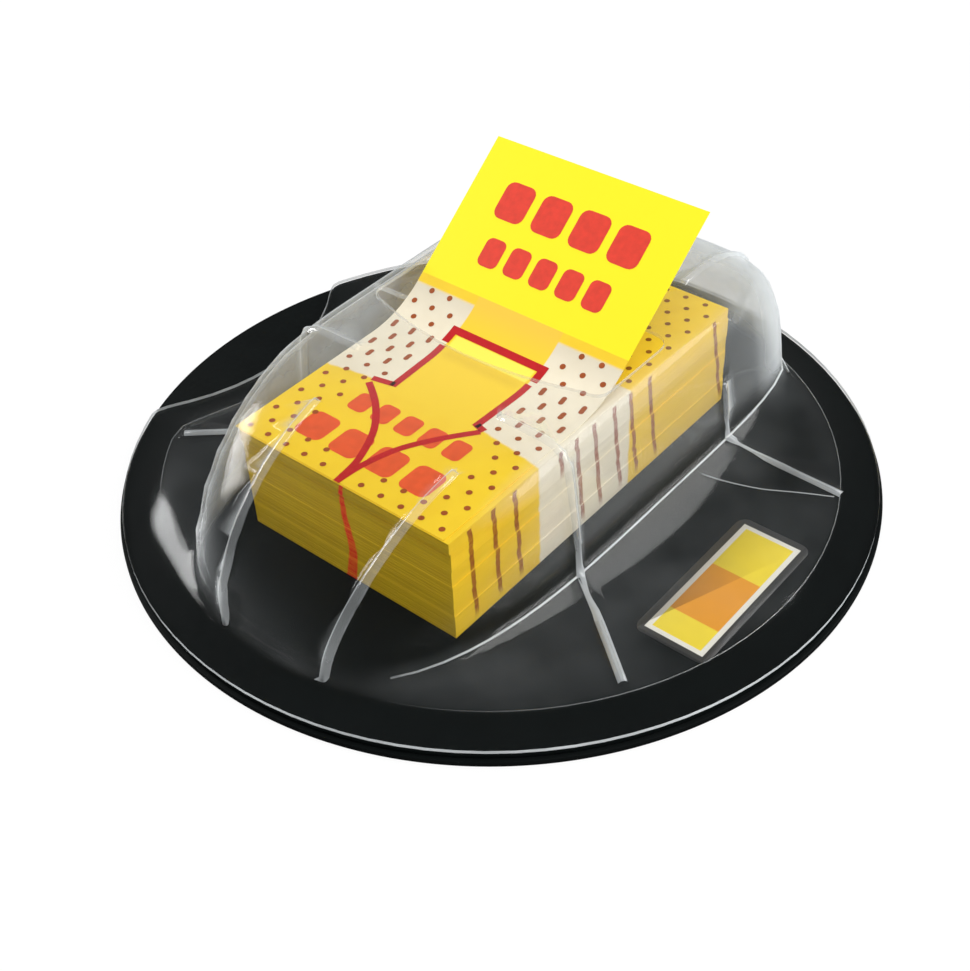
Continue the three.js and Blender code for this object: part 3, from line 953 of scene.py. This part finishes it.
class TABS_OT_stage(bpy.types.Operator):
    """Pale floor, soft light and the camera"""
    bl_idname = "tabs.stage"
    bl_label = "Stage"

    def execute(self, context):
        sizes = context.scene.tab_stage
        deselect()
        bpy.ops.mesh.primitive_plane_add(size=sizes.floor, location=(0, 0, 0))
        floor = context.active_object
        floor.name = "floor"
        floor.data.materials.append(self.floor_finish())
        floor.visible_glossy = False
        for lamp in LAMPS:
            self.lamp(*lamp)
        self.world(context)
        self.camera(context, sizes)
        return {"FINISHED"}

    def floor_finish(self):
        """The floor shows white to the camera and keeps the shadow."""
        finish = Finish("Pale floor", 0.9, 0.2)
        finish.base(finish.mix(finish.noise(0.02, 2), (0.93, 0.93, 0.93), (0.96, 0.96, 0.96)))
        rays = finish.node("ShaderNodeLightPath").outputs
        glow = finish.node("ShaderNodeEmission")
        share = finish.times(rays["Is Camera Ray"], 0.9)
        finish.surface(finish.blend(share, finish.shader.outputs[0], glow.outputs[0]))
        return finish.mat

    def lamp(self, name, place, target, size, power, in_gloss):
        data = bpy.data.lights.new(name, "AREA")
        data.shape = "RECTANGLE"
        data.size, data.size_y = size
        data.energy = power
        lamp = link(bpy.data.objects.new(name, data))
        lamp.location = place
        way = Vector(target) - Vector(place)
        lamp.rotation_euler = way.to_track_quat("-Z", "Y").to_euler()
        lamp.visible_glossy = in_gloss

    def world(self, context):
        """White to the camera and through the sheet, and dimmer as light and in gloss."""
        world = bpy.data.worlds.new("Studio")
        context.scene.world = world
        world.use_nodes = True
        wires = Wires(world.node_tree)
        background = wires.tree.nodes["Background"]
        background.inputs["Color"].default_value = (1, 1, 1, 1)
        rays = wires.node("ShaderNodeLightPath").outputs
        seen = wires.math("MAXIMUM", rays["Is Camera Ray"], rays["Is Transmission Ray"])
        strength = wires.line(seen, 1 - AMBIENT, AMBIENT)
        dim = wires.line(rays["Is Glossy Ray"], AMBIENT_IN_GLOSS - 1, 1.0)
        wires.feed(background.inputs["Strength"], wires.times(strength, dim))

    def camera(self, context, sizes):
        turn, rise, roll = (math.radians(a) for a in (CAMERA_TURN, CAMERA_RISE, CAMERA_ROLL))
        back = Vector((math.sin(turn) * math.cos(rise), -math.cos(turn) * math.cos(rise),
                       math.sin(rise)))
        right = (-back).cross(Vector((0, 0, 1))).normalized()
        up = right.cross(-back)
        right, up = (math.cos(roll) * right + math.sin(roll) * up,
                     math.cos(roll) * up - math.sin(roll) * right)
        data = bpy.data.cameras.new("photo")
        data.sensor_width = SENSOR
        data.lens = sizes.lens
        data.clip_start = 0.01
        data.clip_end = 20
        camera = link(bpy.data.objects.new("photo", data))
        place = Vector(CAMERA_TARGET) * MM + back * sizes.far
        turned = Matrix((right, up, back)).transposed().to_4x4()
        camera.matrix_world = Matrix.Translation(place) @ turned
        context.scene.camera = camera
        context.scene.view_settings.view_transform = "Standard"


class TABS_PT_panel(bpy.types.Panel):
    """Lists the pieces of the dispenser"""
    bl_label = "Index Tab Dispenser"
    bl_idname = "TABS_PT_panel"
    bl_space_type = "VIEW_3D"
    bl_region_type = "UI"
    bl_category = "Tabs"

    def draw(self, context):
        for operator in OPERATORS:
            self.layout.operator(operator.bl_idname)
        for name in GROUPS:
            box = self.layout.box()
            settings = getattr(context.scene, name)
            for key in settings.__annotations__:
                box.prop(settings, key)


OPERATORS = (TABS_OT_base, TABS_OT_label, TABS_OT_pad, TABS_OT_flag, TABS_OT_dome, TABS_OT_stage)
GROUPS = {
    "tab_base": BaseSizes,
    "tab_flags": FlagSizes,
    "tab_dome": DomeSizes,
    "tab_stage": StageSizes,
}


def register():
    for cls in (*GROUPS.values(), *OPERATORS, TABS_PT_panel):
        bpy.utils.register_class(cls)
    for name, group in GROUPS.items():
        setattr(bpy.types.Scene, name, PointerProperty(type=group))


def unregister():
    for name in GROUPS:
        delattr(bpy.types.Scene, name)
    for cls in reversed((*GROUPS.values(), *OPERATORS, TABS_PT_panel)):
        bpy.utils.unregister_class(cls)


def main():
    register()
    bpy.ops.tabs.base()
    bpy.ops.tabs.label()
    bpy.ops.tabs.pad()
    bpy.ops.tabs.flag()
    bpy.ops.tabs.dome()
    bpy.ops.tabs.stage()


if __name__ == "__main__":
    main()
